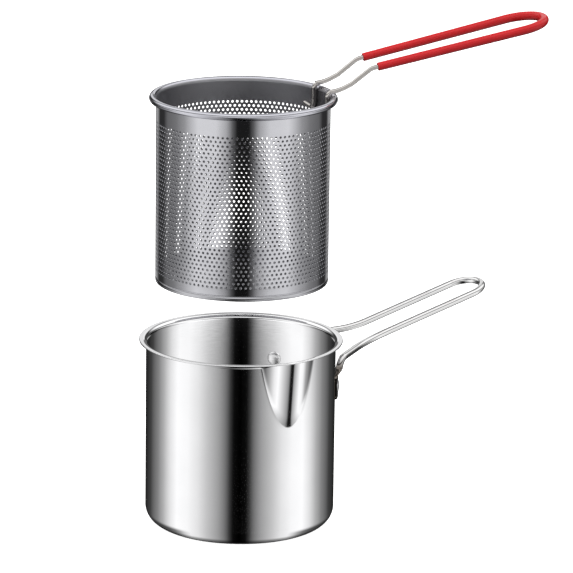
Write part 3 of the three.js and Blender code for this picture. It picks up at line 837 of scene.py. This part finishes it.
def make_world():
    """The studio: a still surround for reflections, soft light from above for the rest, and a white backdrop."""
    world = bpy.data.worlds.new("studio")
    bpy.context.scene.world = world
    world.use_nodes = True
    nodes, links = world.node_tree.nodes, world.node_tree.links
    nodes.clear()

    def math_node(kind, *values):
        node = nodes.new("ShaderNodeMath")
        node.operation = kind
        for socket, value in zip(node.inputs, values):
            if isinstance(value, (int, float)):
                socket.default_value = value
            else:
                links.new(value, socket)
        return node.outputs[0]

    def vector_node(kind, first, second=None):
        node = nodes.new("ShaderNodeVectorMath")
        node.operation = kind
        links.new(first, node.inputs[0])
        if second:
            node.inputs[1].default_value = second
        return node.outputs["Vector"]

    def split(vector):
        parts = nodes.new("ShaderNodeSeparateXYZ")
        links.new(vector, parts.inputs["Vector"])
        return parts.outputs

    place = nodes.new("ShaderNodeTexCoord")
    turned = nodes.new("ShaderNodeVectorRotate")
    turned.rotation_type = "Z_AXIS"
    turned.inputs["Angle"].default_value = -VIEW_AZIMUTH
    links.new(place.outputs["Generated"], turned.inputs["Vector"])
    # The way that a wall faces which throws this part of the room towards the photograph's viewpoint
    seen_along = (0, math.cos(VIEW_ELEVATION), -math.sin(VIEW_ELEVATION))
    between = vector_node("SUBTRACT", turned.outputs["Vector"], seen_along)
    lift = split(between)[2]
    right, away, up = split(vector_node("NORMALIZE", between))
    near = math_node("MULTIPLY", away, -1.0)
    turn = math_node("MULTIPLY_ADD", math_node("ARCTAN2", right, near), 1 / math.pi, 0.5)

    def panels(stops):
        ramp = nodes.new("ShaderNodeValToRGB")
        elements = ramp.color_ramp.elements
        while len(elements) < len(stops):
            elements.new(0.5)
        for element, (angle, value) in zip(elements, stops):
            element.position = (angle + 90) / 180
            element.color = (value, value, value, 1)
        links.new(turn, ramp.inputs["Fac"])
        return ramp.outputs["Color"]

    def grey(value):
        return (value, value, value, 1)

    def mixed(kind, factor, first, second):
        mix = nodes.new("ShaderNodeMix")
        mix.data_type = "RGBA"
        mix.blend_type = kind
        for name, source in (("Factor", factor), ("A", first), ("B", second)):
            if isinstance(source, (int, float, tuple)):
                mix.inputs[name].default_value = source
            else:
                links.new(source, mix.inputs[name])
        return mix.outputs["Result"]

    def above(measure, edge, blend, low, high):
        """Fades from one colour to another as a measure of the ray passes an edge."""
        fade = nodes.new("ShaderNodeMapRange")
        fade.interpolation_type = "SMOOTHSTEP"
        fade.inputs["From Min"].default_value = edge - blend
        fade.inputs["From Max"].default_value = edge + blend
        links.new(measure, fade.inputs["Value"])
        return mixed("MIX", fade.outputs["Result"], low, high)

    pot = panels(mirrored_stops(POT_PANELS))
    foot = panels(mirrored_stops(FOOT_PANELS))
    basket = panels(mirrored_stops(BASKET_PANELS))
    deep = mixed("MULTIPLY", 1.0, pot, pot)
    front = above(near, 0.35, 0.15, grey(0.05), grey(1.0))
    zones = [
        # Walls that face down: the pot's foot, its wall and the spout
        (up, -0.80, 0.05, mixed("MULTIPLY", 1.0, foot, grey(0.30))),
        (up, -0.62, 0.11, foot),
        (up, -0.34, 0.12, pot),
        (up, -0.130, 0.008, panels(spout_stops())),
        # Upright walls, seen a little more level from the pot up to the basket and its inside
        (lift, -0.075, 0.008, pot),
        (lift, 0.007, 0.004, basket),
        (lift, 0.095, 0.010, deep),
        # Walls that face up: the two rims and the tops of the wires
        (lift, 0.30, 0.05, front),
        (up, 0.36, 0.04, grey(0.10)),
        (up, 0.49, 0.04, front),
        (up, 0.60, 0.04, above(near, 0.25, 0.10, grey(0.05), grey(1.2))),
        (up, 0.86, 0.03, above(near, 0.18, 0.08, grey(0.9), mixed("MIX", 0.5, deep, grey(0.2)))),
        (up, 0.972, 0.006, grey(0.82)),
    ]
    view = grey(0.02)
    for measure, edge, blend, colour in zones:
        view = above(measure, edge, blend, view, colour)
    view = above(near, -0.035, 0.015, grey(0.16), view)

    graded = above(split(turned.outputs["Vector"])[2], 0.05, 0.45, grey(0.16), grey(1.25))
    path = nodes.new("ShaderNodeLightPath")
    room = mixed("MIX", path.outputs["Is Camera Ray"], graded, grey(1.0))
    room = mixed("MIX", path.outputs["Is Glossy Ray"], room, view)
    background = nodes.new("ShaderNodeBackground")
    links.new(room, background.inputs["Color"])
    output = nodes.new("ShaderNodeOutputWorld")
    links.new(background.outputs["Background"], output.inputs["Surface"])


def make_lamp():
    """One large soft lamp over the table, for the faint shadow under the pot."""
    light = bpy.data.lights.new("soft_lamp", "AREA")
    light.shape = "DISK"
    light.size = 1.6
    light.energy = 8
    lamp = bpy.data.objects.new("soft_lamp", light)
    lamp.location = (-0.5, -0.6, 2.2)
    lamp.rotation_euler = (-lamp.location).to_track_quat("-Z", "Y").to_euler()
    lamp.visible_glossy = False
    bpy.context.scene.collection.objects.link(lamp)


def make_camera():
    across = Vector((math.cos(VIEW_AZIMUTH), math.sin(VIEW_AZIMUTH), 0))
    level = Vector((-math.sin(VIEW_AZIMUTH), math.cos(VIEW_AZIMUTH), 0))
    ahead = level * math.cos(VIEW_ELEVATION) - Vector((0, 0, math.sin(VIEW_ELEVATION)))
    rim = Vector((0, 0, POT_HEIGHT - RIM_PLANE_DROP))
    place = rim - ahead * VIEW_DISTANCE
    up = across.cross(ahead)
    side = across * math.cos(VIEW_ROLL) + up * math.sin(VIEW_ROLL)
    up = up * math.cos(VIEW_ROLL) - across * math.sin(VIEW_ROLL)
    right = (RIM_PIXEL[0] - PICTURE / 2) / FOCAL_PIXELS
    down = (RIM_PIXEL[1] - PICTURE / 2) / FOCAL_PIXELS
    forward = (ahead - side * right + up * down).normalized()
    side = (side - forward * side.dot(forward)).normalized()
    up = side.cross(forward)
    lens = bpy.data.cameras.new("camera")
    lens.sensor_width = SENSOR
    lens.lens = FOCAL_PIXELS * SENSOR / PICTURE
    lens.clip_start = 0.1
    lens.clip_end = 50
    camera = bpy.data.objects.new("camera", lens)
    camera.matrix_world = Matrix((side, up, -forward)).transposed().to_4x4()
    camera.location = place
    bpy.context.scene.collection.objects.link(camera)
    bpy.context.scene.camera = camera


make_floor()
make_world()
make_lamp()
make_camera()
bpy.context.scene.view_settings.view_transform = "Standard"
